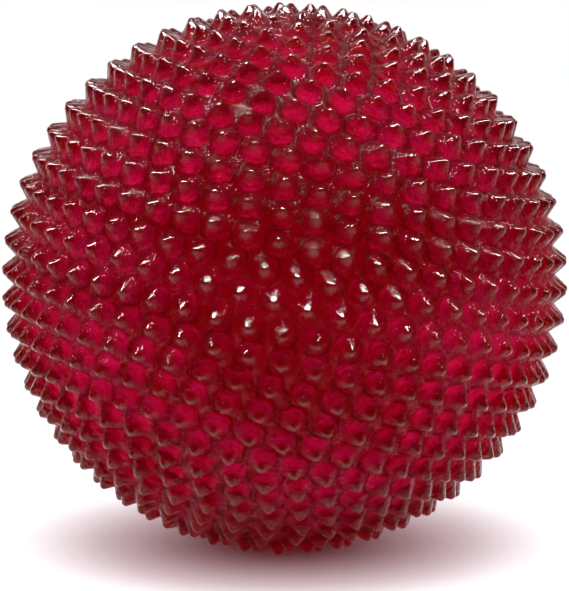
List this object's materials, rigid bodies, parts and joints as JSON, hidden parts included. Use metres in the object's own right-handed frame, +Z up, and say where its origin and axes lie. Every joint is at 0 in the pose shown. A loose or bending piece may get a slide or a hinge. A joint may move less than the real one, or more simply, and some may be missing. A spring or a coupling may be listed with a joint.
{
  "type": "sensory ball",
  "caption": "Soft, translucent hollow ball for touch play, covered all over in blunt conical nubs, with a pull-out stopper in its inflation valve.",
  "frame": {"origin": "middle of the flattened nubs that the ball stands on, under the ball's centre", "axes": "+Z up, the pictured side faces -Y, the valve is at the back towards +Y"},
  "size_m": [0.1798, 0.1798, 0.174],
  "materials": {
    "skin_vinyl": "translucent glossy soft vinyl",
    "seat_vinyl": "translucent soft vinyl",
    "stopper_vinyl": "translucent soft vinyl"
  },
  "bodies": {
    "ball": {"nubbed_skin": "skin_vinyl", "valve_seat": "seat_vinyl"},
    "stopper": {"valve_stopper": "stopper_vinyl"}
  },
  "joints": [
    {"name": "stopper_pull", "type": "slide", "parent": "ball", "child": "stopper", "axis": [0, 0.9659, 0.2588], "range_m": [0, 0.03]}
  ]
}
